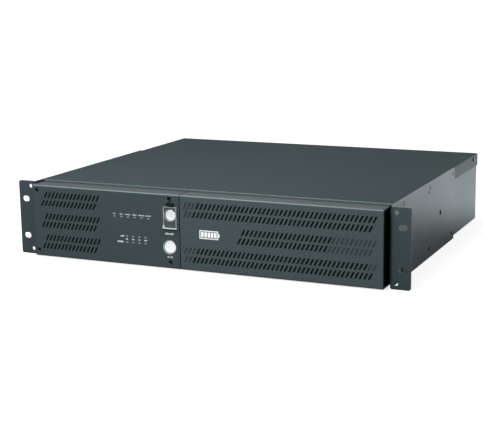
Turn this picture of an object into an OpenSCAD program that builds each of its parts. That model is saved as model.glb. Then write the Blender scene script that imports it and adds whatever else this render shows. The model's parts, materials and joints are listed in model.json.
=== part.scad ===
// Rack-mounting uninterruptible power supply, two rack units high.
// X runs to the right, Y to the back and Z up. The origin is the centre of
// the four rack slots, on the front face of the ears.

/* [Rack ears] */
// Width over both ears
rack_w = 482.6; // [470:0.1:490]
// Height of the ears
rack_h = 88.1; // [86:0.1:89]
// Thickness of the ear and side plate
ear_t = 2; // [1.5:0.1:2.5]
// Distance between slot centres, left to right
slot_pitch_x = 465.1; // [464:0.1:466]
// Distance between slot centres, bottom to top
slot_pitch_z = 44.45; // [44:0.05:45]
// Length of a slot
slot_l = 9.7; // [8:0.1:11]
// Height of a slot
slot_h = 6.9; // [6:0.1:7.5]
// How far back the side plates reach
side_back = 256; // [252:1:320]

/* [Case] */
// Width over the flanges of the top cover
cover_w = 434.6; // [431:0.1:435]
// Back face of the case
case_back = 381; // [375:1:420]
// Front edge of the top cover
case_front = 16; // [13:0.5:17]
// Height of the top cover's upper face above the origin
cover_top = 43.95; // [43.4:0.05:44]
// Height of the case's underside
case_bottom = -43.1; // [-43.4:0.05:-42]
// Thickness of the case sheet
sheet = 1.2; // [1:0.1:1.5]
// Depth of the cover's side flanges
flange_h = 15.5; // [12:0.5:16]

/* [Front bezels] */
// Width over both bezels
bezel_w = 429; // [428:0.5:430]
// Front face of the bezels, ahead of the ears
bezel_front = -10.5; // [-14:0.5:-9]
// Thickness of the bezels' front wall
bezel_t = 2.4; // [2:0.1:3]
// Upper face of the bezels
bezel_top = 42.1; // [42:0.05:43.2]
// Lower face of the bezels
bezel_bottom = -43.05; // [-43.4:0.05:-42]
// Middle of the joint between the two bezels
seam_x = -21.9; // [-25:0.1:-18]
// Width of that joint
seam_w = 1; // [0.6:0.1:1.5]

/* [Vent slots] */
// Height of one slot
vent_h = 7.1; // [5:0.1:8]
// Width of one slot
vent_w = 2.3; // [1.5:0.1:3]
// Sideways lean of a slot over its height
vent_lean = 3.7; // [0:0.1:5]
// Distance from slot to slot
vent_pitch = 5; // [4.5:0.05:6]
// Depth of the closed slots
blind_depth = 1.2; // [0.5:0.1:1.8]

/* [Buttons] */
// Diameter of the power button
power_d = 12.7; // [11:0.1:13.5]
// Diameter of the test button
test_d = 14.4; // [13:0.1:15]
// Gap between a button and its well
button_gap = 1; // [0.6:0.1:1.2]
// How far the buttons' faces sit behind the bezel's face
button_recess = 1.2; // [0.5:0.1:2]
// Travel of both buttons
button_travel = 2; // [1:0.1:2.2]

/* [Guard] */
// Width of the clear guard
guard_w = 16.4; // [15:0.1:18]
// Height of the clear guard
guard_h = 26; // [24:0.1:27]
// Thickness of the clear guard
guard_t = 1.8; // [1.6:0.1:3]

/* [Batteries] */
// Length of one battery
cell_l = 151; // [140:1:155]
// Width of one battery lying on its side
cell_w = 94; // [90:1:98]
// Height of one battery lying on its side
cell_h = 65; // [60:1:66]

/* [Hidden] */
$fn = 48;
tiny = 0.01;
// Case, inside and out
half_cover = cover_w / 2;
half_case = half_cover - sheet;
half_room = half_case - sheet;
floor_z = case_bottom + sheet;
roof_z = cover_top - sheet;
panel_back = case_front + sheet;
rear_face = case_back - sheet;
// Ears and side plates
plate_in = half_cover + 0.1;
plate_out = plate_in + ear_t;
ear_bend = 4;
// Rounding of the ears' corners, and the notch that frees the bend at both ends
ear_round = 2.5;
notch_x = plate_in + 1.2;
notch_h = 4.5;
notch_back = 7;
// Side plate holes, as [distance back, height]
upper_screws = [[44, 38.6], [147, 38.6], [247, 38.6]];
lower_holes = [[42, -33.2], [146, -33.2], [246, -35.3]];
rail_hole = [193, 0.5];
blind_hole = [142.5, 33.6];
// Screw behind the side plate, through the cover's flange
cover_screw = [360, 38.6];
// Bezel halves
left_x0 = -bezel_w / 2;
left_x1 = seam_x - seam_w / 2;
right_x0 = seam_x + seam_w / 2;
right_x1 = bezel_w / 2;
bezel_back = case_front - 0.4;
bezel_wall = 2;
bezel_inner = bezel_front + bezel_t;
// Vent rows, as [height, first slot centre]
left_rows = [
    [30.85, -197.5], [21, -201.9], [5.35, -197.5], [-4.5, -201.9], [-20.2, -197.5], [-30.05, -201.9]];
left_count = 15;
// Right rows, as [height, first slot centre, closed before, open, closed after]
right_rows = [
    [30.85, -14.6, 3, 42, 0], [21, -14.2, 2, 42, 0], [5.35, 55.4, 0, 21, 10],
    [-4.5, 50.8, 0, 21, 10], [-20.2, -14.6, 3, 40, 2], [-30.05, -14.2, 2, 42, 0]];
// Fixings of the left bezel, as [x, z]
bezel_fixings = [[-209.8, 35.65], [-209.8, -35.75], [-34.6, 36.75], [-34.6, -35.75]];
stud_places = [[-16.4, 28], [-16.4, -28], [208.6, 28], [208.6, -28]];
// Buttons, as [x, z], and the bores of their wells
power_at = [-33.9, 18.1];
test_at = [-35.3, -18.3];
power_bore = power_d + 2 * button_gap;
test_bore = test_d + 2 * button_gap;
well_t = 0.6;
well_back = -5;
// A button's flange waits behind its well, and is wider than the bore
flange_grip = 0.6;
flange_front = well_back + 0.6;
flange_t = 1;
stem_back = flange_front + flange_t + button_travel + 0.1;
// Lights
status_x = [for (i = [0:5]) -105.3 + 8.72 * i];
status_z = 12.45;
level_x = [for (i = [0:3]) -89.9 + 7.97 * i];
load_z = -9.75;
charge_z = -16.85;
light_w = 3;
light_h = 1.6;
// Guard and its hinge
guard_x = -33.4;
guard_z1 = 28.1;
guard_z0 = guard_z1 - guard_h;
guard_back = bezel_front - 0.2;
guard_front = guard_back - guard_t;
guard_wall = 1;
lip_h = 2;
lip_out = 1.2;
hinge_y = bezel_front - 1.5;
hinge_z = 29.6;
hinge_r = 1.2;
pin_r = 0.6;
// Display board
board_y = 2.4;
board_t = 1.6;
// Battery bay
bay_x0 = -12;
bay_x1 = 205;
bay_z1 = 31;
bay_end = 344;
tray_x0 = -7;
tray_x1 = 200;
tray_z = max(floor_z, bezel_bottom + bezel_wall) + 0.3;
tray_screw_z = 34.7;
tray_t = 1.2;
tray_front = panel_back - sheet - 2.4;
cell_x = [tray_x0 + 8, tray_x0 + 10.5 + cell_w];
cell_y = [20, 24 + cell_l];
tray_screw_x = [4, 189];
// Fan
fan_x = -165;
fan_size = 80;
fan_z = 0.4;
fan_y1 = rear_face;
fan_depth = 25;
fan_bore = 76;
fan_corner = 71.5 / 2;
grille_y = case_back + 1;
wire_r = 0.9;

// Shared shapes

module slab(x0, x1, y0, y1, z0, z1) {
    translate([x0, y0, z0]) cube([x1 - x0, y1 - y0, z1 - z0]);
}

// A box w wide and h high, centred on x and z, from y0 to y1
module block(x, z, w, h, y0, y1) {
    slab(x - w / 2, x + w / 2, y0, y1, z - h / 2, z + h / 2);
}

// A round bar along Y
module bar_y(x, z, r, y0, y1) {
    translate([x, y0, z]) rotate([-90, 0, 0]) cylinder(r = r, h = y1 - y0);
}

// A round bar along X
module bar_x(y, z, r, x0, x1) {
    translate([x0, y, z]) rotate([0, 90, 0]) cylinder(r = r, h = x1 - x0);
}

// A round bar along Z
module bar_z(x, y, r, z0, z1) {
    translate([x, y, z0]) cylinder(r = r, h = z1 - z0);
}

module rounded(w, h, r) {
    translate([-w / 2 + r, -h / 2]) square([w - 2 * r, h]);
    translate([-w / 2, -h / 2 + r]) square([w, h - 2 * r]);
    for (sx = [-1, 1], sz = [-1, 1]) translate([sx * (w / 2 - r), sz * (h / 2 - r)]) circle(r);
}

// A rounded plate that faces the front, from y0 to y1
module face_plate(x, z, w, h, r, y0, y1) {
    translate([x, y1, z]) rotate([90, 0, 0]) linear_extrude(y1 - y0) rounded(w, h, r);
}

// One leaning vent slot, about its centre
module vent(x, z) {
    foot = vent_w / 2;
    lean = vent_lean / 2;
    up = vent_h / 2;
    translate([x, z])
        polygon([[-foot - lean, -up], [foot - lean, -up], [foot + lean, up], [lean - foot, up]]);
}

module vent_row(z, first, count) {
    for (i = [0:1:count - 1]) vent(first + i * vent_pitch, z);
}

// A drawing in X and Z, made solid from y0 to y1
module front_cut(y0, y1) {
    translate([0, y1, 0]) rotate([90, 0, 0]) linear_extrude(y1 - y0) children();
}

// Case

module chassis_tub() {
    color([0.33, 0.37, 0.38]) difference() {
        union() {
            slab(-half_case, half_case, case_front, case_back, case_bottom, floor_z);
            for (s = [-1, 1]) {
                x0 = s < 0 ? -half_case : half_room;
                slab(x0, x0 + sheet, case_front, case_back, case_bottom, roof_z);
                lip = s < 0 ? -half_room : half_room - 9;
                slab(lip, lip + 9, panel_back, rear_face, roof_z - sheet, roof_z);
            }
        }
        for (s = [-1, 1], p = concat(lower_holes, [rail_hole]))
            bar_x(p[0], p[1], 1.6, s * half_case - 2, s * half_case + 2);
        for (s = [-1, 1], p = concat(upper_screws, [cover_screw]))
            bar_x(p[0], p[1], 1.5, s * half_case - 2, s * half_case + 2);
        for (p = pillar_places) bar_z(p[0], p[1], 2.4, case_bottom - 1, floor_z + 1);
        for (p = bolt_places) bar_z(p[0], p[1], 2.3, case_bottom - 1, floor_z + 1);
    }
}

module top_cover() {
    color([0.35, 0.4, 0.41]) difference() {
        front_cut(case_front, case_back) cover_profile();
        for (s = [-1, 1], p = concat(upper_screws, [cover_screw]))
            bar_x(p[0], p[1], 1.5, s * half_cover - 3, s * half_cover + 3);
    }
}

// The folded section of the cover, in X and Z
module cover_profile() {
    bend = 1.6;
    difference() {
        union() {
            translate([-half_cover, cover_top - flange_h]) square([cover_w, flange_h - bend]);
            translate([bend - half_cover, cover_top - bend]) square([cover_w - 2 * bend, bend]);
            for (s = [-1, 1]) translate([s * (half_cover - bend), cover_top - bend]) circle(bend);
        }
        translate([-half_case, cover_top - flange_h - 1])
            square([2 * half_case, flange_h + 1 - sheet]);
    }
}

module front_subpanel() {
    color([0.62, 0.64, 0.65]) difference() {
        slab(-half_room, half_room, case_front, panel_back, floor_z, roof_z - sheet);
        slab(bay_x0, bay_x1, case_front - 1, panel_back + 1, floor_z - 1, bay_z1);
        for (x = tray_screw_x) bar_y(x, tray_screw_z, 1.7, case_front - 1, panel_back + 1);
        slab(-200, -120, case_front - 1, panel_back + 1, -34, 34);
        for (p = concat(bezel_fixings, stud_places))
            bar_y(p[0], p[1], 1.5, case_front - 1, panel_back + 1);
        slab(-75, -60, case_front - 1, panel_back + 1, -30, -18);
    }
}

// Ears, each in one piece with its side plate

module ear_profile() {
    bend_in = ear_bend - ear_t;
    translate([plate_in + ear_bend, 0]) square([rack_w / 2 - plate_in - ear_bend, ear_t]);
    translate([plate_in, ear_bend]) square([ear_t, side_back - ear_bend]);
    intersection() {
        translate([plate_in + ear_bend, ear_bend]) difference() {
            circle(ear_bend);
            circle(bend_in);
        }
        translate([plate_in, 0]) square(ear_bend);
    }
}

module slot_hole(z) {
    run = slot_l - slot_h;
    for (s = [-1, 1]) bar_y(slot_pitch_x / 2 + s * run / 2, z, slot_h / 2, -1, ear_t + 1);
    block(slot_pitch_x / 2, z, run, slot_h, -1, ear_t + 1);
}

// What is cut away to round the upper corner at x, on its side to the right, 1, or to the left, -1
module ear_corner(x, side) {
    r = ear_round;
    z = rack_h / 2;
    difference() {
        block(x + side * (1 - r) / 2, z + (1 - r) / 2, r + 1, r + 1, -1, ear_t + 1);
        bar_y(x - side * r, z - r, r, -2, ear_t + 2);
    }
}

// Both upper corners, and the notch at the end of the bend
module ear_end() {
    ear_corner(rack_w / 2, 1);
    ear_corner(notch_x, -1);
    slab(plate_in - 1, notch_x, -1, notch_back, rack_h / 2 - notch_h, rack_h / 2 + 1);
}

module ear_bracket() {
    difference() {
        translate([0, 0, -rack_h / 2]) linear_extrude(rack_h) ear_profile();
        for (s = [-1, 1]) slot_hole(s * slot_pitch_z / 2);
        for (s = [-1, 1]) bar_y(225.3, s * 38, 2.4, -1, ear_t + 1);
        for (s = [0, 1]) mirror([0, 0, s]) ear_end();
        for (p = upper_screws) translate([plate_out + tiny, p[0], p[1]]) rotate([0, -90, 0])
            cylinder(r1 = 3.2, r2 = 1.6, h = ear_t + 2 * tiny);
        for (p = lower_holes) bar_x(p[0], p[1], 2.75, plate_in - 1, plate_out + 1);
        bar_x(rail_hole[0], rail_hole[1], 3.25, plate_in - 1, plate_out + 1);
        bar_x(blind_hole[0], blind_hole[1], 1.8, plate_out - 1, plate_out + 1);
    }
}

module ear_bracket_right() {
    color([0.28, 0.31, 0.32]) ear_bracket();
}

module ear_bracket_left() {
    color([0.28, 0.31, 0.32]) mirror([1, 0, 0]) ear_bracket();
}

module bracket_screws() {
    color([0.2, 0.21, 0.22]) for (s = [0, 1], p = upper_screws) mirror([s, 0, 0]) difference() {
        union() {
            bar_x(p[0], p[1], 1.45, plate_out - 9, plate_out - 1);
            translate([plate_out - 0.1, p[0], p[1]]) rotate([0, -90, 0])
                cylinder(r1 = 3, r2 = 1.45, h = 1.7);
        }
        slab(plate_out - 0.9, plate_out, p[0] - 1.8, p[0] + 1.8, p[1] - 0.35, p[1] + 0.35);
        slab(plate_out - 0.9, plate_out, p[0] - 0.35, p[0] + 0.35, p[1] - 1.8, p[1] + 1.8);
    }
}

module cover_screws() {
    color([0.2, 0.21, 0.22]) for (s = [0, 1]) mirror([s, 0, 0]) {
        bar_x(cover_screw[0], cover_screw[1], 1.45, half_cover - 8, half_cover + 0.5);
        bar_x(cover_screw[0], cover_screw[1], 2.8, half_cover, half_cover + 1.1);
    }
}

// Bezels

module bezel_profile() {
    r = 2.2;
    depth = bezel_back - bezel_front;
    tall = bezel_top - bezel_bottom;
    difference() {
        union() {
            translate([bezel_front + r, bezel_bottom]) square([depth - r, tall]);
            translate([bezel_front, bezel_bottom + r]) square([depth, tall - 2 * r]);
            for (z = [bezel_bottom + r, bezel_top - r]) translate([bezel_front + r, z]) circle(r);
        }
        translate([bezel_inner, bezel_bottom + bezel_wall]) square([depth, tall - 2 * bezel_wall]);
    }
}

// The folded shell of a bezel from x0 to x1
module bezel_shell(x0, x1) {
    translate([x0, 0, 0]) rotate([90, 0, 90]) linear_extrude(x1 - x0) bezel_profile();
}

module left_bezel() {
    color([0.3, 0.34, 0.35]) difference() {
        union() {
            bezel_shell(left_x0, left_x1);
            for (p = bezel_fixings) bar_y(p[0], p[1], 4.4, bezel_inner - tiny, 6);
        }
        front_cut(bezel_front - 1, bezel_inner + 1) for (row = left_rows)
            vent_row(row[0], row[1], left_count);
        for (p = bezel_fixings) {
            bar_y(p[0], p[1], 2.6, bezel_front - 1, 3.5);
            bar_y(p[0], p[1], 1.5, 3, 7);
        }
        for (x = status_x) light_hole(x, status_z);
        for (x = level_x, z = [load_z, charge_z]) light_hole(x, z);
        well_hole(power_at, power_bore);
        well_hole(test_at, test_bore);
    }
}

module light_hole(x, z) {
    block(x, z, light_w, light_h, bezel_front - 1, bezel_inner + 1);
}

// A hole that steps out behind the bezel's face, to hide the well's edge
module well_hole(at, bore) {
    bar_y(at[0], at[1], bore / 2, bezel_front - 1, bezel_inner + 1);
    bar_y(at[0], at[1], bore / 2 + well_t, bezel_front + well_t, bezel_inner + 1);
}

module right_bezel() {
    color([0.3, 0.34, 0.35]) difference() {
        bezel_shell(right_x0, right_x1);
        front_cut(bezel_front - 1, bezel_inner + 1) for (row = right_rows)
            vent_row(row[0], row[1] + row[2] * vent_pitch, row[3]);
        front_cut(bezel_front - 1, bezel_front + blind_depth) for (row = right_rows) {
            vent_row(row[0], row[1], row[2]);
            vent_row(row[0], row[1] + (row[2] + row[3]) * vent_pitch, row[4]);
        }
    }
}

module bezel_screws() {
    color([0.15, 0.15, 0.16]) for (p = bezel_fixings) difference() {
        union() {
            bar_y(p[0], p[1], 2.4, 1.6, 3.5);
            bar_y(p[0], p[1], 1.4, 3, 11);
        }
        slab(p[0] - 1.4, p[0] + 1.4, 1, 2.4, p[1] - 0.35, p[1] + 0.35);
        slab(p[0] - 0.35, p[0] + 0.35, 1, 2.4, p[1] - 1.4, p[1] + 1.4);
    }
}

module bezel_posts() {
    color([0.75, 0.76, 0.77]) for (p = bezel_fixings) difference() {
        bar_y(p[0], p[1], 3.2, 6, case_front);
        bar_y(p[0], p[1], 1.45, 5, case_front + 1);
    }
}

module ball_studs() {
    color([0.75, 0.76, 0.77]) for (p = stud_places) {
        bar_y(p[0], p[1], 1.5, -2, panel_back);
        bar_y(p[0], p[1], 3.2, case_front - 2, case_front);
        translate([p[0], -2.5, p[1]]) sphere(r = 2.6);
    }
}

module bezel_sockets() {
    color([0.14, 0.14, 0.15]) for (p = stud_places) difference() {
        bar_y(p[0], p[1], 4.4, bezel_inner, 0.6);
        bar_y(p[0], p[1], 2.9, -5.6, 1.6);
    }
}

// Buttons and the guard

module button(at, d) {
    face_y = bezel_front + button_recess;
    dish_r = 22;
    dish_depth = 0.6;
    color([0.9, 0.91, 0.9]) difference() {
        union() {
            bar_y(at[0], at[1], d / 2, face_y, flange_front + tiny);
            bar_y(at[0], at[1], d / 2 + button_gap + flange_grip, flange_front, flange_front + flange_t);
            bar_y(at[0], at[1], 1.8, flange_front + flange_t - tiny, stem_back);
        }
        translate([at[0], face_y + dish_depth - dish_r, at[1]]) sphere(r = dish_r, $fn = 64);
    }
}

module power_button() {
    button(power_at, power_d);
}

module test_button() {
    button(test_at, test_d);
}

module well(at, bore) {
    difference() {
        union() {
            bar_y(at[0], at[1], bore / 2 + well_t, bezel_front + well_t, well_back);
            bar_y(at[0], at[1], bore / 2 + 2, bezel_inner, well_back);
        }
        bar_y(at[0], at[1], bore / 2, bezel_front - 1, 0);
    }
}

module button_wells() {
    color([0.72, 0.73, 0.72]) {
        well(power_at, power_bore);
        well(test_at, test_bore);
    }
}

module push_switches() {
    plunger = stem_back + button_travel + 0.1;
    color([0.1, 0.1, 0.11]) for (p = [power_at, test_at]) {
        block(p[0], p[1], 12, 12, plunger + 0.2, board_y);
        bar_y(p[0], p[1], 3.4, plunger, plunger + 0.2 + tiny);
    }
}

module button_guard() {
    mid_z = (guard_z0 + guard_z1) / 2;
    pocket = 2 * guard_wall;
    color([0.85, 0.9, 0.92, 0.4]) difference() {
        union() {
            difference() {
                face_plate(guard_x, mid_z, guard_w, guard_h, 1, guard_front, guard_back);
                face_plate(guard_x, mid_z, guard_w - pocket, guard_h - pocket, 0.5,
                    guard_front + 0.8, guard_back + 1);
            }
            face_plate(guard_x, guard_z0 + lip_h / 2, guard_w + 1, lip_h, 0.6,
                guard_front - lip_out, guard_back - 0.2);
            slab(guard_x - 2.5, guard_x + 2.5, hinge_y - 0.8, hinge_y + 0.8, guard_z1 - 0.8, hinge_z);
            bar_x(hinge_y, hinge_z, hinge_r, guard_x - 2.5, guard_x + 2.5);
        }
        bar_x(hinge_y, hinge_z, pin_r + 0.05, guard_x - 4, guard_x + 4);
    }
}

// Two knuckles under a bridge, and a narrow tab that runs up to the screw above
module guard_bracket() {
    knuckle_w = 1.7;
    bridge_z = hinge_z + hinge_r + 0.3;
    tab_x = bezel_fixings[2][0] + 0.4;
    tab_z = bezel_fixings[2][1] - 2.6;
    foot_t = 0.4;
    color([0.05, 0.05, 0.06]) difference() {
        union() {
            slab(tab_x - 0.8, tab_x + 0.8, bezel_front - foot_t, bezel_front, bridge_z, tab_z);
            block(guard_x, bridge_z + 0.5, 9, 1, bezel_front - foot_t, bezel_front);
            for (s = [-1, 1]) {
                x = guard_x + s * (4.5 - knuckle_w / 2);
                bar_x(hinge_y, hinge_z, hinge_r, x - knuckle_w / 2, x + knuckle_w / 2);
                block(x, hinge_z + 0.8, knuckle_w, 2.4, hinge_y, bezel_front);
            }
        }
        bar_x(hinge_y, hinge_z, pin_r, guard_x - 6, guard_x + 6);
    }
}

module guard_pin() {
    color([0.6, 0.6, 0.62]) bar_x(hinge_y, hinge_z, pin_r, guard_x - 4.4, guard_x + 4.4);
}

// Display board with its lights

module display_board() {
    color([0.1, 0.3, 0.18]) difference() {
        slab(-116, -25.5, board_y, board_y + board_t, -30, 28);
        for (x = [-112, -52], z = [-26, 24]) bar_y(x, z, 1.6, board_y - 1, board_y + board_t + 1);
    }
}

module display_pillars() {
    color([0.75, 0.76, 0.77]) for (x = [-112, -52], z = [-26, 24]) {
        bar_y(x, z, 2.8, board_y + board_t, case_front);
        bar_y(x, z, 1.5, board_y - 1.2, board_y + board_t);
        bar_y(x, z, 2.6, board_y - 1.2, board_y);
    }
}

module light(x, z) {
    block(x, z, light_w - 0.1, light_h - 0.1, bezel_front + 0.1, board_y);
}

module status_leds() {
    color([0.45, 0.48, 0.47]) for (x = status_x) light(x, status_z);
}

module load_leds() {
    color([0.45, 0.48, 0.47]) for (x = level_x) light(x, load_z);
}

module battery_leds() {
    color([0.45, 0.48, 0.47]) for (x = level_x) light(x, charge_z);
}

module sounder() {
    color([0.08, 0.08, 0.09]) difference() {
        bar_y(-104, -14, 6, -4, board_y);
        bar_y(-104, -14, 1.2, -5, -2);
    }
}

// Power electronics

board_top = floor_z + 8 + board_t;
pillar_places = [for (x = [-200, -35], y = [31, 181]) [x, y]];

module main_board() {
    color([0.1, 0.3, 0.18]) difference() {
        slab(-205, -30, 26, 186, board_top - board_t, board_top);
        for (p = pillar_places) bar_z(p[0], p[1], 1.6, board_top - 3, board_top + 1);
    }
}

// Pressed into the floor, each with its screw on top of the board
module board_pillars() {
    color([0.75, 0.76, 0.77]) for (p = pillar_places) {
        bar_z(p[0], p[1], 2.4, case_bottom + 0.1, floor_z + tiny);
        bar_z(p[0], p[1], 3, floor_z, board_top - board_t);
        bar_z(p[0], p[1], 1.5, board_top - board_t, board_top);
        bar_z(p[0], p[1], 2.9, board_top, board_top + 1.8);
    }
}

module heatsinks() {
    color([0.78, 0.79, 0.8]) for (x = [-190, -80]) {
        slab(x, x + 3, 50, 170, board_top, 34);
        for (y = [50:19.5:167]) slab(x + 3 - tiny, x + 25, y, y + 3, board_top, 34);
    }
}

module power_transistors() {
    color([0.08, 0.08, 0.09]) for (x = [-190, -80], i = [0:3]) {
        y = 57 + i * 28;
        slab(x - 4.6, x, y, y + 16, board_top + 8, board_top + 28);
        for (leg = [3, 8, 13])
            slab(x - 3, x - 2.2, y + leg, y + leg + 1, board_top, board_top + 8 + tiny);
    }
}

module bulk_capacitors() {
    color([0.12, 0.16, 0.32]) for (x = [-140, -108], y = [70, 104])
        bar_z(x, y, 13, board_top, board_top + 45);
}

module relays() {
    color([0.12, 0.12, 0.13]) for (x = [-152, -130, -108])
        slab(x, x + 19, 140, 168, board_top, board_top + 16);
}

module filter_choke() {
    color([0.62, 0.34, 0.16]) translate([-42, 60, board_top])
        rotate_extrude() translate([6, 0]) square([6, 14]);
}

transformer_at = [-95, 255, floor_z + 3];
bolt_places = [for (s = [-1, 1]) [transformer_at[0] + s * 63, transformer_at[1]]];

module transformer_core() {
    color([0.4, 0.41, 0.42]) translate(transformer_at) difference() {
        translate([-55, -35, 0]) cube([110, 70, 66]);
        translate([-38, -36, 16]) cube([22, 72, 34]);
        translate([16, -36, 16]) cube([22, 72, 34]);
    }
}

module transformer_windings() {
    color([0.6, 0.32, 0.15]) translate(transformer_at) difference() {
        translate([-37.5, -50, 16.5]) cube([75, 100, 33]);
        translate([-16.5, -35.5, 10]) cube([33, 71, 46]);
    }
}

module transformer_feet() {
    color([0.7, 0.71, 0.72]) difference() {
        for (s = [-1, 1]) translate([transformer_at[0] + s * 58 - 12, transformer_at[1] - 20, floor_z])
            cube([24, 40, 3]);
        for (p = bolt_places) bar_z(p[0], p[1], 2.3, floor_z - 1, floor_z + 4);
    }
}

// Bolts up through the floor, with flush heads and nuts on the feet
module transformer_bolts() {
    color([0.55, 0.56, 0.57]) for (p = bolt_places) {
        bar_z(p[0], p[1], 2.2, case_bottom + 0.1, floor_z + 8);
        translate([p[0], p[1], floor_z + 3]) cylinder(r = 4, h = 3.2, $fn = 6);
    }
}

// Battery bay

module bay_wall() {
    color([0.66, 0.68, 0.69]) {
        slab(bay_x0 - 3, bay_x0 - 1.8, panel_back, bay_end + 1.2, floor_z, roof_z - 2 * sheet);
        slab(bay_x0 - 3, half_room, bay_end, bay_end + 1.2, floor_z, roof_z - 2 * sheet);
        slab(bay_x1 + 2, bay_x1 + 3.2, panel_back, bay_end, floor_z, 20);
        slab(bay_x1 + 2, half_room, panel_back, bay_end, floor_z, floor_z + 1.2);
    }
}

module battery_tray() {
    back = cell_y[1] + cell_l + 4;
    color([0.7, 0.72, 0.73]) difference() {
        union() {
            slab(tray_x0, tray_x1, tray_front, back, tray_z, tray_z + tray_t);
            for (x = [tray_x0, tray_x1 - tray_t])
                slab(x, x + tray_t, tray_front, back, tray_z, tray_z + 30);
            slab(tray_x0, tray_x1, back - tray_t, back, tray_z, tray_z + 30);
            slab(bay_x0 + 1.5, bay_x1 - 1.5, tray_front, tray_front + 1.8, tray_z, tray_screw_z + 4);
        }
        for (x = tray_screw_x) bar_y(x, tray_screw_z, 1.6, tray_front - 1, tray_front + 3);
    }
}

module batteries() {
    color([0.16, 0.17, 0.18]) for (x = cell_x, y = cell_y) {
        z = tray_z + tray_t;
        slab(x, x + cell_w, y, y + cell_l, z, z + cell_h);
    }
}

module battery_terminals() {
    z = tray_z + tray_t + cell_h;
    color([0.8, 0.78, 0.72]) for (x = cell_x, y = cell_y, run = [18, cell_l - 24])
        slab(x + 12, x + 18.3, y + run, y + run + 6.3, z, z + 1.2);
}

module battery_links() {
    z = tray_z + tray_t + cell_h + 1.2;
    color([0.7, 0.1, 0.08]) {
        for (y = cell_y)
            slab(cell_x[0] + 12, cell_x[1] + 18.3, y + cell_l - 24, y + cell_l - 17.7, z, z + 2.4);
        slab(cell_x[0] + 12, cell_x[0] + 18.3, cell_y[0] + 18, cell_y[1] + 24.3, z, z + 2.4);
    }
}

module tray_handle() {
    y1 = tray_front;
    color([0.06, 0.06, 0.07]) {
        for (x = [70, 117]) slab(x, x + 6, y1 - 12, y1, -12, 12);
        slab(70, 123, y1 - 14.5, y1 - 11, -12, 12);
    }
}

module tray_screws() {
    color([0.75, 0.76, 0.77]) for (x = tray_screw_x) {
        bar_y(x, tray_screw_z, 1.5, tray_front - 2, panel_back + 1);
        bar_y(x, tray_screw_z, 4.6, tray_front - 8, tray_front);
    }
}

plug_y = cell_y[1] + cell_l + 4;

module tray_plug() {
    color([0.55, 0.56, 0.57]) {
        slab(60, 100, plug_y, plug_y + 5.2, tray_z + 6, tray_z + 26);
        for (x = [68, 84]) slab(x, x + 8, plug_y + 5.2, bay_end - 4, tray_z + 10, tray_z + 22);
    }
}

module bay_socket() {
    color([0.1, 0.1, 0.11]) difference() {
        slab(60, 100, plug_y + 5.6, bay_end, tray_z + 6, tray_z + 26);
        for (x = [67.5, 83.5])
            slab(x, x + 9, plug_y + 5, bay_end - 3.5, tray_z + 9.5, tray_z + 22.5);
    }
}

// Rear panel and what it carries

inlet_at = [-96, -22];
inlet_screw_x = 20;
breaker_at = [-60, -22];
port_at = [-82, 19];
cover_at = [-33, 20];
cover_screw_x = 19;
ground_at = [-41, -22];
outlet_x = [for (i = [0:3]) 22 + i * 46];
outlet_z = [20, -18];
// Pins of a three-pole connector, about its middle, as [x, z]
pin_places = [[-7, -2], [0, 2], [7, -2]];
outlet_w = 32;
outlet_h = 25;

module rear_panel() {
    y0 = rear_face - 1;
    y1 = case_back + 1;
    color([0.33, 0.37, 0.38]) difference() {
        slab(-half_room, half_room, rear_face, case_back, floor_z, roof_z - sheet);
        bar_y(fan_x, fan_z, fan_bore / 2 - 1, y0, y1);
        for (sx = [-1, 1], sz = [-1, 1])
            bar_y(fan_x + sx * fan_corner, fan_z + sz * fan_corner, 2, y0, y1);
        block(inlet_at[0], inlet_at[1], 28.6, 21.4, y0, y1);
        bar_y(breaker_at[0], breaker_at[1], 6, y0, y1);
        block(port_at[0], port_at[1], 18, 10, y0, y1);
        for (x = outlet_x, z = outlet_z) block(x, z, outlet_w + 0.4, outlet_h + 0.4, y0, y1);
        block(cover_at[0], cover_at[1], 34, 28, y0, y1);
        bar_y(ground_at[0], ground_at[1], 2, y0, y1);
        for (s = [-1, 1]) {
            bar_y(cover_at[0] + s * cover_screw_x, cover_at[1], 1.6, y0, y1);
            bar_y(inlet_at[0] + s * inlet_screw_x, inlet_at[1], 1.7, y0, y1);
        }
    }
}

// A drawing in X and Z about the fan's axis, from y0 to y1
module fan_layer(y0, y1) {
    translate([fan_x, 0, fan_z]) front_cut(y0, y1) children();
}

module fan_outline() {
    difference() {
        square(fan_size, center = true);
        circle(fan_bore / 2);
        for (sx = [-1, 1], sz = [-1, 1]) translate([sx * fan_corner, sz * fan_corner]) circle(2.15);
    }
}

module fan_frame() {
    y0 = fan_y1 - fan_depth;
    color([0.07, 0.07, 0.08]) {
        fan_layer(y0 + 3, fan_y1) fan_outline();
        fan_layer(y0, y0 + 3) {
            fan_outline();
            circle(14);
            for (a = [0:90:270]) rotate(a) translate([12, -2]) square([fan_bore / 2 - 11, 4]);
        }
        bar_y(fan_x, fan_z, 1.5, y0 + 1, fan_y1 - 6);
    }
}

module fan_rotor() {
    y0 = fan_y1 - fan_depth + 4;
    color([0.1, 0.1, 0.11]) difference() {
        union() {
            bar_y(fan_x, fan_z, 16, y0, fan_y1 - 4);
            for (a = [0:360 / 7:359]) translate([fan_x, y0 + 8, fan_z]) rotate([0, a, 0])
                translate([15, 0, 0]) rotate([35, 0, 0]) translate([0, -1, -9]) cube([21, 2, 18]);
        }
        bar_y(fan_x, fan_z, 1.56, y0 - 1, fan_y1 - 5);
    }
}

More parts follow.
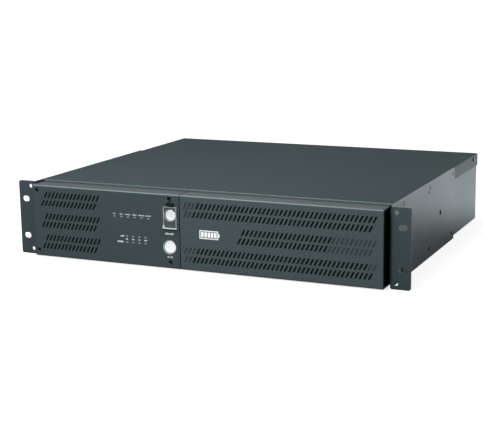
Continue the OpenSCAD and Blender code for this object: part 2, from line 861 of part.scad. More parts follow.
module fan_grille() {
    reach = sqrt(2) * fan_corner;
    color([0.72, 0.73, 0.74]) {
        for (r = [12:8:36]) translate([fan_x, grille_y, fan_z]) wire_ring(r);
        for (a = [45:90:315]) translate([fan_x, grille_y, fan_z]) rotate([0, a, 0]) {
            translate([11, 0, 0]) rotate([0, 90, 0]) cylinder(r = wire_r, h = reach - 14);
            translate([reach, 0, 0]) wire_ring(3);
        }
    }
}

module wire_ring(r) {
    rotate([90, 0, 0]) rotate_extrude() translate([r, 0]) circle(wire_r, $fn = 16);
}

module fan_screws() {
    color([0.2, 0.2, 0.21]) for (sx = [-1, 1], sz = [-1, 1]) {
        x = fan_x + sx * fan_corner;
        z = fan_z + sz * fan_corner;
        bar_y(x, z, 1.9, fan_y1 - 12, case_back + 2);
        bar_y(x, z, 3.8, case_back + 1.9, case_back + 3.6);
    }
}

// The face of a three-pole connector: a rectangle with two corners cut, in X and Z
module pole_face(w, h, cut) {
    polygon([
        [-w / 2, -h / 2], [w / 2, -h / 2], [w / 2, h / 2 - cut], [w / 2 - cut, h / 2],
        [cut - w / 2, h / 2], [-w / 2, h / 2 - cut]]);
}

module pole_solid(x, z, w, h, cut, y0, y1) {
    translate([x, 0, z]) front_cut(y0, y1) pole_face(w, h, cut);
}

module ac_inlet() {
    x = inlet_at[0];
    z = inlet_at[1];
    color([0.06, 0.06, 0.07]) difference() {
        union() {
            pole_solid(x, z, 28, 21, 5.5, case_back - 20, case_back + tiny);
            face_plate(x, z, 50, 25, 4, case_back, case_back + 2.5);
        }
        pole_solid(x, z, 24.4, 16.8, 4.6, case_back - 16, case_back + 3);
        for (s = [-1, 1]) bar_y(x + s * inlet_screw_x, z, 1.7, case_back - 1, case_back + 3);
    }
}

module inlet_pins() {
    color([0.8, 0.8, 0.78]) for (p = pin_places)
        block(inlet_at[0] + p[0], inlet_at[1] + p[1], 2, 4, case_back - 16, case_back - 2);
}

module outlets() {
    color([0.06, 0.06, 0.07]) for (x = outlet_x, z = outlet_z) difference() {
        union() {
            block(x, z, outlet_w, outlet_h, case_back - 24, case_back + tiny);
            face_plate(x, z, outlet_w + 5, outlet_h + 4, 1.5, case_back, case_back + 2);
        }
        difference() {
            pole_solid(x, z, 29, 21.6, 6, case_back - 17, case_back + 3);
            pole_solid(x, z, 23.4, 15.8, 4.2, case_back - 18, case_back + 4);
        }
        for (p = pin_places) block(x + p[0], z + p[1], 2.4, 4.6, case_back - 18, case_back + 3);
    }
}

module breaker_body() {
    color([0.06, 0.06, 0.07]) difference() {
        union() {
            block(breaker_at[0], breaker_at[1], 20, 16, rear_face - 30, rear_face);
            bar_y(breaker_at[0], breaker_at[1], 5.9, rear_face - 1, case_back + 4);
            bar_y(breaker_at[0], breaker_at[1], 7.6, case_back, case_back + 1.8);
        }
        bar_y(breaker_at[0], breaker_at[1], 3.6, rear_face - 10, case_back + 5);
    }
}

module breaker_button() {
    color([0.86, 0.87, 0.86])
        bar_y(breaker_at[0], breaker_at[1], 3.4, rear_face - 6, case_back + 6);
}

// The shell of the nine-pole socket, in X and Z, narrower at its foot
module port_outline(w, h) {
    lean = 0.9;
    polygon([[-w / 2 + lean, -h / 2], [w / 2 - lean, -h / 2], [w / 2, h / 2], [-w / 2, h / 2]]);
}

module data_port() {
    color([0.7, 0.71, 0.73]) {
        difference() {
            union() {
                face_plate(port_at[0], port_at[1], 31, 12.4, 1.5, case_back, case_back + 1);
                translate([port_at[0], 0, port_at[1]]) front_cut(case_back, case_back + 6)
                    port_outline(17, 8.4);
            }
            translate([port_at[0], 0, port_at[1]]) front_cut(case_back - 1, case_back + 7)
                port_outline(15.8, 7.2);
        }
        for (s = [-1, 1]) translate([port_at[0] + s * 12.5, case_back + 1, port_at[1]])
            rotate([-90, 0, 0]) difference() {
                cylinder(r = 2.7, h = 5, $fn = 6);
                cylinder(r = 1.4, h = 6);
            }
    }
}

// The block inside the shell, with five holes over four
module port_insert() {
    color([0.08, 0.09, 0.12]) difference() {
        union() {
            translate([port_at[0], 0, port_at[1]]) front_cut(case_back - tiny, case_back + 5.2)
                port_outline(15.7, 7.1);
            block(port_at[0], port_at[1], 17.6, 9.6, case_back - 12, case_back);
        }
        for (i = [0:8]) {
            x = port_at[0] + (i < 5 ? (i - 2) * 2.75 : (i - 6.5) * 2.75);
            bar_y(x, port_at[1] + (i < 5 ? 1.4 : -1.4), 0.6, case_back - 4, case_back + 6);
        }
    }
}

module slot_cover() {
    color([0.6, 0.62, 0.63]) difference() {
        face_plate(cover_at[0], cover_at[1], 44, 34, 1, case_back, case_back + 1.2);
        for (s = [-1, 1])
            bar_y(cover_at[0] + s * cover_screw_x, cover_at[1], 1.6, case_back - 1, case_back + 2);
    }
}

// Screws of the slot cover and the inlet, and the ground terminal with its washer
module panel_screws() {
    color([0.55, 0.56, 0.57]) {
        for (s = [-1, 1]) {
            cross_screw(cover_at[0] + s * cover_screw_x, cover_at[1], 1.5, 3, case_back + 1.2);
            cross_screw(inlet_at[0] + s * inlet_screw_x, inlet_at[1], 1.6, 2.8, case_back + 2.5);
        }
        bar_y(ground_at[0], ground_at[1], 4.5, case_back, case_back + 0.8);
        cross_screw(ground_at[0], ground_at[1], 1.9, 3.6, case_back + 0.8);
    }
}

// A screw facing back, with its head on y and a cross cut in it
module cross_screw(x, z, shank_r, head_r, y) {
    head_t = 1.9;
    difference() {
        union() {
            bar_y(x, z, shank_r, y - 5, y + tiny);
            bar_y(x, z, head_r, y, y + head_t);
        }
        block(x, z, head_r * 1.2, 0.7, y + 0.9, y + head_t + 1);
        block(x, z, 0.7, head_r * 1.2, y + 0.9, y + head_t + 1);
    }
}

chassis_tub();
top_cover();
rear_panel();
front_subpanel();
ear_bracket_left();
ear_bracket_right();
bracket_screws();
cover_screws();
left_bezel();
bezel_screws();
bezel_posts();
right_bezel();
bezel_sockets();
ball_studs();
power_button();
test_button();
button_wells();
push_switches();
button_guard();
guard_bracket();
guard_pin();
display_board();
display_pillars();
status_leds();
load_leds();
battery_leds();
sounder();
main_board();
board_pillars();
heatsinks();
power_transistors();
bulk_capacitors();
relays();
filter_choke();
transformer_core();
transformer_windings();
transformer_feet();
transformer_bolts();
bay_wall();
battery_tray();
batteries();
battery_terminals();
battery_links();
tray_handle();
tray_screws();
tray_plug();
bay_socket();
fan_frame();
fan_rotor();
fan_grille();
fan_screws();
ac_inlet();
inlet_pins();
outlets();
breaker_body();
breaker_button();
data_port();
port_insert();
slot_cover();
panel_screws();
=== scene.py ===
# %% [markdown]
# A two-unit rack power supply: a folded steel case, two moulded bezels with leaning vent slots, and
# two push buttons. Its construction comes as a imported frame, in metres. The same sizes could be
# typed in again here, but a size that is read from the frame can't fall out of step with it. This
# cell loads the frame and keeps its box, which the dressed model must not outgrow.

import json
import math

import bmesh
import bpy
from mathutils import Matrix, Vector


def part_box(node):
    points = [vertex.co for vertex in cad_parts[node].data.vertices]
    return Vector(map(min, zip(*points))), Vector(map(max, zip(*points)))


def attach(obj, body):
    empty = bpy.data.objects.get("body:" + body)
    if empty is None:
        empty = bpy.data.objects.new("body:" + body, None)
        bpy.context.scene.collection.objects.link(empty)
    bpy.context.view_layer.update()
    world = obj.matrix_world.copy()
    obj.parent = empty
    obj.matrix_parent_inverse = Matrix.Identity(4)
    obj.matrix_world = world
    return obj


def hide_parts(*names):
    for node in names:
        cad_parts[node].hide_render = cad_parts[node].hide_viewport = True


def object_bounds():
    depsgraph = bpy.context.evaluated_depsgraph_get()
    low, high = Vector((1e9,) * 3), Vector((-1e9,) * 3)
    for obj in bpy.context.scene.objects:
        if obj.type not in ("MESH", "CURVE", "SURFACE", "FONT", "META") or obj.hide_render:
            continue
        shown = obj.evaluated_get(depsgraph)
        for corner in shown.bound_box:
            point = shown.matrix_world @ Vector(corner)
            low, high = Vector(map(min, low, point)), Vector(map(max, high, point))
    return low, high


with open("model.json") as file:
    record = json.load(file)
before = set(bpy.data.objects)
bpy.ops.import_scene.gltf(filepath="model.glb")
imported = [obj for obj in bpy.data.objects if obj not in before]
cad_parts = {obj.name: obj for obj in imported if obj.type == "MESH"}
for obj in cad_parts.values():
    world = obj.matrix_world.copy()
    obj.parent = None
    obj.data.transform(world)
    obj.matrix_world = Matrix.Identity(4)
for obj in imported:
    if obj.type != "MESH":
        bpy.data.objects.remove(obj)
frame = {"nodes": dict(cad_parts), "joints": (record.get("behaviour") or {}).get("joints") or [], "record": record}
cad_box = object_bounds()
MM = 0.001
print("nodes:", len(frame["nodes"]), "box:", cad_box)

# %% [markdown]
# The camera stands in front and to the right, a little above the lid, and looks down at about
# twelve degrees. A Track To constraint could aim it, but would lose its small roll. So its matrix
# is built from a forward vector, and the three angles stay readable.

# %% Camera
CAMERA_AT = Vector((0.5860, -1.1704, 0.29005))
YAW, PITCH, ROLL = (math.radians(angle) for angle in (-24.644, 11.94, -0.827))
FOCAL_PX = 1202.2
FRAME_W = 483
SENSOR_MM = 36


def camera_matrix():
    level = math.cos(PITCH)
    forward = Vector((math.sin(YAW) * level, math.cos(YAW) * level, -math.sin(PITCH)))
    right = Vector((math.cos(YAW), -math.sin(YAW), 0))
    up = right.cross(forward)
    turned_right = math.cos(ROLL) * right + math.sin(ROLL) * up
    turned_up = -math.sin(ROLL) * right + math.cos(ROLL) * up
    turn = Matrix((turned_right, turned_up, -forward)).transposed().to_4x4()
    return Matrix.Translation(CAMERA_AT) @ turn


scene = bpy.context.scene
camera = bpy.data.objects.new("camera", bpy.data.cameras.new("camera"))
scene.collection.objects.link(camera)
camera.data.sensor_fit = "HORIZONTAL"
camera.data.sensor_width = SENSOR_MM
camera.data.lens = FOCAL_PX * SENSOR_MM / FRAME_W
camera.data.clip_start = 0.05
camera.matrix_world = camera_matrix()
scene.camera = camera
scene.view_settings.view_transform = "Standard"
print("lens:", round(camera.data.lens, 1), "mm")

# %% [markdown]
# Finishes are written as shader maths. Each node could be placed and linked by lines of its own,
# but a sum would then be hard to read. A Wire wraps a socket and overloads the operators, so an
# expression such as 1 - mask adds its Math nodes by itself.

# %% Wires


class Wire:
    def __init__(self, nodes, socket):
        self.nodes = nodes
        self.socket = socket

    def math(self, operation, *others):
        return self.nodes.node("ShaderNodeMath", {"operation": operation}, [self, *others])

    def __add__(self, other):
        return self.math("ADD", other)

    def __mul__(self, other):
        return self.math("MULTIPLY", other)

    def __sub__(self, other):
        return self.math("SUBTRACT", other)

    def __rsub__(self, other):
        return (self * -1) + other

    __radd__ = __add__
    __rmul__ = __mul__

    def step(self, low, high):
        """0 below low, 1 above high, smooth between."""
        limits = {"Value": self, "From Min": low, "From Max": high}
        smooth = {"interpolation_type": "SMOOTHSTEP"}
        return self.nodes.node("ShaderNodeMapRange", smooth, limits)


print("a wire adds, subtracts and multiplies")

# %% [markdown]
# Most finishes need the same few nodes: they read a place on the object, make a pattern of it and
# mix two colours. A node group could hold them, but methods keep every setting in sight. Nodes adds
# a node of any kind through one method, for a material or for the world. A Finish is the Nodes of
# one material.

# %% Finishes


class Nodes:
    def __init__(self, tree, shader_name):
        self.tree = tree
        self.shader = tree.nodes[shader_name]

    def plug(self, socket, value):
        """A wire is linked to the socket, and anything else becomes its value."""
        if isinstance(value, Wire):
            self.tree.links.new(value.socket, socket)
        else:
            socket.default_value = value

    def node(self, kind, settings=None, inputs=None, output=0):
        made = self.tree.nodes.new(kind)
        for key, value in (settings or {}).items():
            setattr(made, key, value)
        pairs = inputs.items() if isinstance(inputs, dict) else enumerate(inputs or [])
        for key, value in pairs:
            self.plug(made.inputs[key], value)
        return Wire(self, made.outputs[output])

    def place(self):
        return self.node("ShaderNodeTexCoord", output="Object")

    def axes(self, vector):
        """The x, y and z of a vector, as three wires from one node."""
        parts = self.node("ShaderNodeSeparateXYZ", {}, [vector]).socket.node
        return [Wire(self, output) for output in parts.outputs]

    def facing_up(self):
        """1 where a face looks straight up, and 0 where it stands upright."""
        return self.axes(self.node("ShaderNodeNewGeometry", output="Normal"))[2]

    def noise(self, scale, detail=2.0, roughness=0.5, stretch=None):
        at = self.place()
        if stretch:
            at = self.node("ShaderNodeMapping", {}, {"Vector": at, "Scale": stretch})
        grain = {"Vector": at, "Scale": scale, "Detail": detail, "Roughness": roughness}
        return self.node("ShaderNodeTexNoise", {}, grain)

    def mix(self, factor, first, second):
        """The first colour where the factor is 0, and the second where it is 1."""
        colour_sockets = {0: factor, 6: first, 7: second}
        return self.node("ShaderNodeMix", {"data_type": "RGBA"}, colour_sockets, output=2)

    def set(self, **values):
        for key, value in values.items():
            self.plug(self.shader.inputs[key.replace("_", " ")], value)

    def bump(self, height, distance):
        relief = {"Height": height, "Distance": distance, "Strength": 1.0}
        self.set(Normal=self.node("ShaderNodeBump", {}, relief))


class Finish(Nodes):
    def __init__(self, name):
        self.material = bpy.data.materials.new(name)
        self.material.use_nodes = True
        super().__init__(self.material.node_tree, "Principled BSDF")


print("a finish takes noise, mixes and bumps")

# %% [markdown]
# A colour is easy to name as a screen shows it, but a shader wants its linear value. The colour
# picker would convert it by hand, one swatch at a time. A function does it for every swatch, and
# another makes a colour darker or lighter.

# %% Colours


def srgb(red, green, blue):
    """A colour as it reads on a screen, from 0 to 255, as the linear value a shader takes."""
    def linear(value):
        value /= 255
        return value / 12.92 if value <= 0.04045 else ((value + 0.055) / 1.055) ** 2.4
    return (linear(red), linear(green), linear(blue), 1)


def shade(colour, factor):
    return tuple(channel * factor for channel in colour[:3]) + (1,)


print("half grey on a screen is", round(srgb(128, 128, 128)[0], 3), "to a shader")

# %% [markdown]
# The case and ears wear a fine powder coat: a satin paint with a faint orange peel, a little
# mottling over the sheet and a shine that varies slightly. An image could carry that, but the
# sheets have no mapping of their own, so noise in object space does it. The lid's flat top sprays
# out drier than its folded flanges, so a clear coat is added only where a face isn't level.

# %% Painted steel
ORANGE_PEEL = 0.04 * MM
MOTTLE = 0.06


def powder_coat(name, colour, roughness, specular):
    coat = Finish(name)
    cloud = coat.noise(9, 3)
    speck = coat.noise(900, 2)
    tone = (cloud - 0.5) * 1.2 + (speck - 0.5) * 0.8 + 0.5
    coat.set(Base_Color=coat.mix(tone, shade(colour, 1 - MOTTLE), shade(colour, 1 + MOTTLE)))
    coat.set(Roughness=(cloud - 0.5) * 0.12 + roughness, Specular_IOR_Level=specular)
    coat.bump(coat.noise(1400, 2), ORANGE_PEEL)
    return coat


def gloss_flanges(coat, gloss, roughness):
    level = coat.facing_up().step(0.8, 0.98)
    coat.set(Coat_Weight=(1 - level) * gloss, Coat_Roughness=roughness)


cover_coat = powder_coat("cover_coat", srgb(43, 55, 57), 0.75, 0.07)
gloss_flanges(cover_coat, 0.5, 0.38)
side_coat = powder_coat("side_coat", srgb(43, 57, 61), 0.3, 0.29)
chassis_coat = powder_coat("chassis_coat", srgb(44, 57, 60), 0.36, 0.5)
# The hem's paler colour is a painted highlight along the lid's front edge.
hem_highlight_coat = powder_coat("hem_highlight_coat", srgb(92, 105, 107), 0.4, 0.4)
# The inner sheets are painted black as painted shade, so the vents and gaps in front of them look dark.
painted_shade_sheet = powder_coat("painted_shade_sheet", srgb(30, 33, 34), 0.6, 0.3)
coats = (cover_coat, side_coat, chassis_coat, hem_highlight_coat, painted_shade_sheet)
print("coats:", *(coat.material.name for coat in coats))

# %% [markdown]
# The bezels are moulded plastic with a spark-eroded grain, a little finer and flatter than the paint. The corner
# between the front and the top is painted paler, a painted highlight where it would catch light from above, and
# the top itself is painted darker, a painted shade. Those areas could be painted on by hand, but the direction of
# a face already tells them apart. The service bezel has a slightly lighter colour.

# %% Moulded bezels
GRAIN = 0.03 * MM
PAINTED_HIGHLIGHT_GREY = srgb(104, 117, 119)
TOP_PAINTED_SHADE = 0.62


def moulding(name, colour, roughness=0.5, grain=GRAIN, specular=0.4, painted_light=None):
    """painted_light, if given, takes the plastic, its tone and its colour, and returns the tone with painted
    highlight and shade on it.
    """
    plastic = Finish(name)
    cloud = plastic.noise(14, 2)
    tone = plastic.mix(cloud, shade(colour, 0.95), shade(colour, 1.05))
    plastic.set(Base_Color=painted_light(plastic, tone, colour) if painted_light else tone)
    plastic.set(Roughness=(cloud - 0.5) * 0.1 + roughness, Specular_IOR_Level=specular)
    plastic.bump(plastic.noise(1800, 3), grain)
    return plastic


def painted_highlight_and_shade(plastic, tone, colour):
    # The pale corner is a painted highlight and the darker top face a painted shade, picked by the direction a
    # face looks.
    upward = plastic.facing_up()
    corner_highlight = upward.step(0.3, 0.6) * (1 - upward.step(0.85, 0.97))
    with_highlight = plastic.mix(corner_highlight, tone, PAINTED_HIGHLIGHT_GREY)
    return plastic.mix(upward.step(0.95, 0.99), with_highlight, shade(colour, TOP_PAINTED_SHADE))


bezel_plastic = moulding("bezel_plastic", srgb(50, 62, 64), specular=0.18, painted_light=painted_highlight_and_shade)
service_plastic = moulding("service_plastic", srgb(58, 70, 72), specular=0.18, painted_light=painted_highlight_and_shade)
print("bezels:", bezel_plastic.material.name, service_plastic.material.name)

# %% [markdown]
# The other plastics differ in little but colour: buttons, lights, batteries, boards and sleeves.
# Each could have a node tree of its own, but the same moulding with another colour, shine and grain
# is enough. Most of the small parts have a finer grain than the housings.

# %% Small plastics
FINE_GRAIN = 0.01 * MM
black_plastic = moulding("black_plastic", srgb(14, 16, 17))
matt_black = moulding("matt_black", srgb(6, 7, 8), 0.6, specular=0.12)
white_plastic = moulding("white_plastic", srgb(231, 234, 236), 0.4, FINE_GRAIN)
well_plastic = moulding("well_plastic", srgb(176, 182, 181), 0.5, FINE_GRAIN)
battery_plastic = moulding("battery_plastic", srgb(45, 48, 50), 0.55)
strap_plastic = moulding("strap_plastic", srgb(150, 32, 28), 0.45)
board_lacquer = moulding("board_lacquer", srgb(30, 92, 62), 0.35, 2 * FINE_GRAIN)
sleeve_plastic = moulding("sleeve_plastic", srgb(34, 44, 92), 0.3, FINE_GRAIN)
lens_plastic = moulding("lens_plastic", srgb(122, 132, 131), 0.3, FINE_GRAIN)
# This pale plastic is a painted highlight on the guard's lip and its corner.
lip_highlight_plastic = moulding("lip_highlight_plastic", srgb(205, 214, 214), 0.2, FINE_GRAIN)
print("materials so far:", len(bpy.data.materials))

# %% [markdown]
# Bare metal inside and on the back: zinc-plated sheet with a soft spangle, extruded aluminium and
# wound copper with drawn lines, and blackened screws. Anisotropic shading could draw the lines, but
# it is lost in an export. Noise that is stretched along the metal shows them from every side.

# %% Metals
LINE_DEPTH = 0.02 * MM


def metal(name, colour, roughness, stretch=None, scale=260):
    bare = Finish(name)
    streak = bare.noise(scale, 3, 0.6, stretch)
    bare.set(Base_Color=bare.mix(streak, shade(colour, 0.85), shade(colour, 1.1)), Metallic=1.0)
    bare.set(Roughness=(streak - 0.5) * 0.2 + roughness)
    bare.bump(streak, LINE_DEPTH)
    return bare


zinc = metal("zinc", srgb(186, 190, 192), 0.35)
dark_screw = metal("dark_screw", srgb(70, 73, 75), 0.4)
fins = metal("fins", srgb(200, 203, 205), 0.4, stretch=(1, 1, 0.05), scale=900)
copper = metal("copper", srgb(190, 112, 66), 0.35, stretch=(1, 0.05, 1), scale=1500)
core_steel = metal("core_steel", srgb(104, 106, 108), 0.5, stretch=(0.1, 1, 0.1), scale=1200)
print("metals:", *(bare.material.name for bare in (zinc, dark_screw, fins, copper, core_steel)))

# %% [markdown]
# The guard is a clear moulding. Real refraction would bend the light truly, but it renders slowly and doesn't
# survive an export, so Alpha carries the clearness of a thin glossy shell. Its edges are seen through more plastic
# and gather light, so they look milky; they have a paler finish of their own that lets less through, partly for
# that thickness and partly a painted highlight.

# %% Clear plastic
clear_plastic = Finish("clear_plastic")
haze = clear_plastic.noise(120, 2)
clear_plastic.set(Base_Color=srgb(222, 230, 230), Roughness=haze * 0.1 + 0.05)
clear_plastic.set(Alpha=haze * 0.02 + 0.005)
clear_edge_highlight = Finish("clear_edge_highlight")
glow = clear_edge_highlight.noise(90, 2)
# The pale, less clear edge finish is partly the thicker plastic seen end on and partly a painted highlight.
clear_edge_highlight.set(Base_Color=srgb(160, 171, 171), Roughness=0.2, Alpha=glow * 0.3 + 0.6)
for clear in (clear_plastic, clear_edge_highlight):
    clear.material.blend_method = "BLEND"
    print("clear:", clear.material.name)

# %% [markdown]
# Each node of the frame takes one of these finishes. They could be picked by hand for every node,
# but the record already names each node's material slot, so one table does most of them. A second
# table holds the few nodes whose finish isn't that of their slot.

# %% Dress the frame
BY_SLOT = {
    "case_paint": cover_coat,
    "ear_paint": side_coat,
    "bezel_plastic": bezel_plastic,
    "zinc_steel": zinc,
    "dark_screw": dark_screw,
    "white_plastic": white_plastic,
    "well_plastic": well_plastic,
    "black_plastic": black_plastic,
    "clear_plastic": clear_plastic,
    "lens_plastic": lens_plastic,
    "circuit_board": board_lacquer,
    "aluminium_fins": fins,
    "capacitor_sleeve": sleeve_plastic,
    "copper_wire": copper,
    "core_steel": core_steel,
    "battery_case": battery_plastic,
    "battery_lead": zinc,
    "link_cover": strap_plastic,
}
BY_NODE = {
    "right_bezel": service_plastic,
    "chassis_tub": chassis_coat,
    "slot_cover": chassis_coat,
    # These three inner sheets wear black as painted shade.
    "front_subpanel": painted_shade_sheet,
    "battery_tray": painted_shade_sheet,
    "bezel_posts": painted_shade_sheet,
    "ball_studs": black_plastic,
    "guard_pin": matt_black,
    "guard_bracket": matt_black,
    "bezel_screws": matt_black,
}
SLOT_OF = {part["node"]: part["material_slot"] for part in frame["record"]["subparts"]}


def finish_of(node):
    return BY_NODE.get(node, BY_SLOT[SLOT_OF[node]])


def wear(piece, finish):
    piece.data.materials.clear()
    piece.data.materials.append(finish.material)


for node in SLOT_OF:
    wear(frame["nodes"][node], finish_of(node))
print("dressed", len(SLOT_OF), "nodes")

# %% [markdown]
# Every new piece is made alike: a bmesh is written to a mesh, the mesh gets an object, and the object gets its
# finish and the body that it rides on. The editor's own operators could add it, but they act on whatever is
# selected, so pieces are made from data alone.

# %% New pieces
BODIES = frame["record"]["behaviour"]["bodies"]
BODY_OF = {node: body for body, nodes in BODIES.items() for node in nodes}


def piece_from(name, shape):
    mesh = bpy.data.meshes.new(name)
    shape.normal_update()
    shape.to_mesh(mesh)
    shape.free()
    piece = bpy.data.objects.new(name, mesh)
    scene.collection.objects.link(piece)
    return piece


def finish_piece(piece, body, finish):
    wear(piece, finish)
    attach(piece, body)
    return piece


print("bodies to ride on:", *BODIES)

# %% [markdown]
# Real sheet edges are never sharp: the punch breaks them and the paint rounds them again, and that
# thin round edge is what catches the light. A Bevel node in the shader could fake it, but only in a
# render. So a copy of the node is merged, gets a Bevel modifier and is shown in the node's place.

# %% Soft edges
SAME_POINT = 0.002 * MM
FLAT_WITHIN = math.radians(1)
SHARP_FROM = math.radians(35)
EDGE_MM = {
    "top_cover": 0.4,
    "chassis_tub": 0.3,
    "ear_bracket_left": 0.35,
    "ear_bracket_right": 0.35,
    "rear_panel": 0.2,
    "left_bezel": 0.15,
    "right_bezel": 0.15,
    "outlets": 0.25,
    "ac_inlet": 0.3,
    "slot_cover": 0.3,
    "breaker_body": 0.25,
    "fan_frame": 0.3,
    "data_port": 0.15,
}


def softened(node, width):
    shape = bmesh.new()
    shape.from_mesh(frame["nodes"][node].data)
    bmesh.ops.remove_doubles(shape, verts=shape.verts, dist=SAME_POINT)
    bmesh.ops.dissolve_limit(
        shape, angle_limit=FLAT_WITHIN, verts=shape.verts, edges=shape.edges
    )
    piece = piece_from(node + "_soft", shape)
    rounding = piece.modifiers.new("rounding", "BEVEL")
    rounding.width = width
    rounding.segments = 2
    rounding.limit_method = "ANGLE"
    rounding.angle_limit = SHARP_FROM
    for polygon in piece.data.polygons:
        polygon.use_smooth = False
    finish_piece(piece, BODY_OF[node], finish_of(node))
    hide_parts(node)
    return piece


for node, width in EDGE_MM.items():
    print(softened(node, width * MM).name)

# %% [markdown]
# The cover's front edge is hemmed: the sheet is folded back under itself, so its nose is round and thicker than
# the sheet, and closes the gap above the bezels. Its paint is much paler than the lid's, a painted highlight along
# that round nose. The fold could be swept along the edge, but the edge is straight, so a beveled bar just ahead of
# it has the same shape.

# %% Cover hem
HEM_ROUND = 0.35 * MM
HEM_INSET = 1.6 * MM
HEM_BEHIND = 0.5 * MM
HEM_PLAY = 0.02 * MM


def add_box(shape, low, high):
    low, high = Vector(low), Vector(high)
    size = Matrix.Diagonal((*(high - low), 1))
    middle = Matrix.Translation((low + high) / 2)
    bmesh.ops.create_cube(shape, size=1, matrix=middle @ size)


def round_edges(shape, edges, width, segments):
    bmesh.ops.bevel(
        shape,
        geom=edges,
        offset=width,
        affect="EDGES",
        segments=segments,
        profile=0.5,
        material=-1,
    )


def bar(name, low, high, round_off, segments=3):
    """A box from low to high with all its edges rounded."""
    shape = bmesh.new()
    add_box(shape, low, high)
    round_edges(shape, shape.edges[:], round_off, segments)
    return piece_from(name, shape)


cover_low, cover_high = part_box("top_cover")
bezel_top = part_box("left_bezel")[1].z
hem_low = (cover_low.x + HEM_INSET, cover_low.y - HEM_ROUND, bezel_top + HEM_PLAY)
hem_high = (cover_high.x - HEM_INSET, cover_low.y + HEM_BEHIND, cover_high.z - HEM_PLAY)
hem = bar("cover_hem", hem_low, hem_high, HEM_ROUND)
finish_piece(hem, "case", hem_highlight_coat)
print(hem.name, "from", hem_low, "to", hem_high)

# %% [markdown]
# White legends are printed on the bezel. An image could carry them, but it would need mapping and
# would blur when seen close. So each legend is flat text that is turned into a thin mesh first, and
# then set on the bezel's face.

# %% Printed marks
FACE_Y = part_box("left_bezel")[0].y
INK = 0.06 * MM
BOLD = 0.03
SIZE_PER_HEIGHT = 1.4
ink = moulding("white_ink", srgb(232, 238, 238), 0.6, FINE_GRAIN)


def printed(name, words, x, z, height, spread=1.0):
    """Words of this height, centred on x and z and spread sideways."""
    curve = bpy.data.curves.new(name, "FONT")
    curve.body = words
    curve.align_x = "CENTER"
    curve.align_y = "CENTER"
    curve.size = height * SIZE_PER_HEIGHT
    curve.extrude = INK
    curve.offset = BOLD * height
    holder = bpy.data.objects.new(name + "_text", curve)
    scene.collection.objects.link(holder)
    bpy.context.view_layer.update()
    drawn = holder.evaluated_get(bpy.context.evaluated_depsgraph_get())
    mesh = bpy.data.meshes.new_from_object(drawn)
    bpy.data.objects.remove(holder)
    widen = Matrix.Diagonal((spread, 1, 1, 1))
    place = Matrix.Translation((x, FACE_Y - INK * 0.5, z))
    mesh.transform(place @ Matrix.Rotation(math.pi / 2, 4, "X") @ widen)
    piece = bpy.data.objects.new(name, mesh)
    scene.collection.objects.link(piece)
    return finish_piece(piece, "case", ink)


print("ink:", ink.material.name, "on the face at y", round(FACE_Y / MM, 2), "mm")

# %% [markdown]
# Numbers stand between the two rows of level lights and above the status lights, and a switch mark
# stands under each button. Their places could be typed in, but a row of lights is one node, so the
# columns are worked out from its box and can't drift away from the lights.

# %% Numbers at the lights
LIGHT_R = 1.45 * MM
LEVEL_TALL = 1.3 * MM
STATUS_TALL = 1.15 * MM
STATUS_ABOVE = 2.9 * MM
STATUS_WORDS = ("01-1", "02-2", "03-03-3", "04-04", "05-05-05", "07-07-07")


def centre_of(node):
    low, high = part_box(node)
    return (low + high) / 2


def light_columns(node, count):
    """The x of each light in a row of this many, from the box round the row."""
    low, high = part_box(node)
    pitch = (high.x - low.x - 2 * LIGHT_R) / (count - 1)
    return [low.x + LIGHT_R + i * pitch for i in range(count)]


load_z = centre_of("load_leds").z
charge_z = centre_of("battery_leds").z
status_z = centre_of("status_leds").z
for i, x in enumerate(light_columns("load_leds", 4)):
    level = str(25 * (i + 1))
    printed(f"level_number_{i + 1}", level, x, (load_z + charge_z) / 2, LEVEL_TALL, 1.5)
for i, x in enumerate(light_columns("status_leds", len(STATUS_WORDS))):
    words = STATUS_WORDS[i]
    printed(f"status_number_{i + 1}", words, x, status_z + STATUS_ABOVE, STATUS_TALL, 1.25)
printed("power_mark", "ON/OFF", -35.1 * MM, -3.1 * MM, 2.1 * MM)
printed("test_mark", "0-1-0", -35.0 * MM, -29.6 * MM, 1.6 * MM, 1.3)
print("rows of lights at z", [round(z / MM, 1) for z in (load_z, charge_z, status_z)], "mm")

# %% [markdown]
# The other marks are plain pictures: a rising row of bars for the load, and a battery outline for
# the charge and on the service bezel. They could be traced as curves, but every stroke is straight,
# so each picture is a few thin boxes, one for every stroke of the stencil.

# %% Stencilled pictures
BAR_PITCH = 1.3
BAR_WIDE = 0.9
BAR_FIRST = 0.6
BAR_RISE = 0.4


def stencil(name, strokes, corner, body):
    """strokes are (left, bottom, right, top) in millimetres from the corner."""
    shape = bmesh.new()
    x, z = corner
    for left, bottom, right, top in strokes:
        low = ((x + left) * MM, FACE_Y - INK, (z + bottom) * MM)
        high = ((x + right) * MM, FACE_Y + INK, (z + top) * MM)
        add_box(shape, low, high)
    return finish_piece(piece_from(name, shape), body, ink)


def battery_strokes(width, height, line, bars):
    outline = [
        (0, 0, width, line),
        (0, height - line, width, height),
        (0, line, line, height - line),
        (width - line, line, width, height - line),
        (width, height * 0.3, width + line * 1.4, height * 0.7),
    ]
    gap = line * 0.8
    room = width - 2 * line - gap
    wide = room / bars - gap
    lefts = [line + gap + i * (wide + gap) for i in range(bars)]
    return outline + [(left, line + gap, left + wide, height - line - gap) for left in lefts]


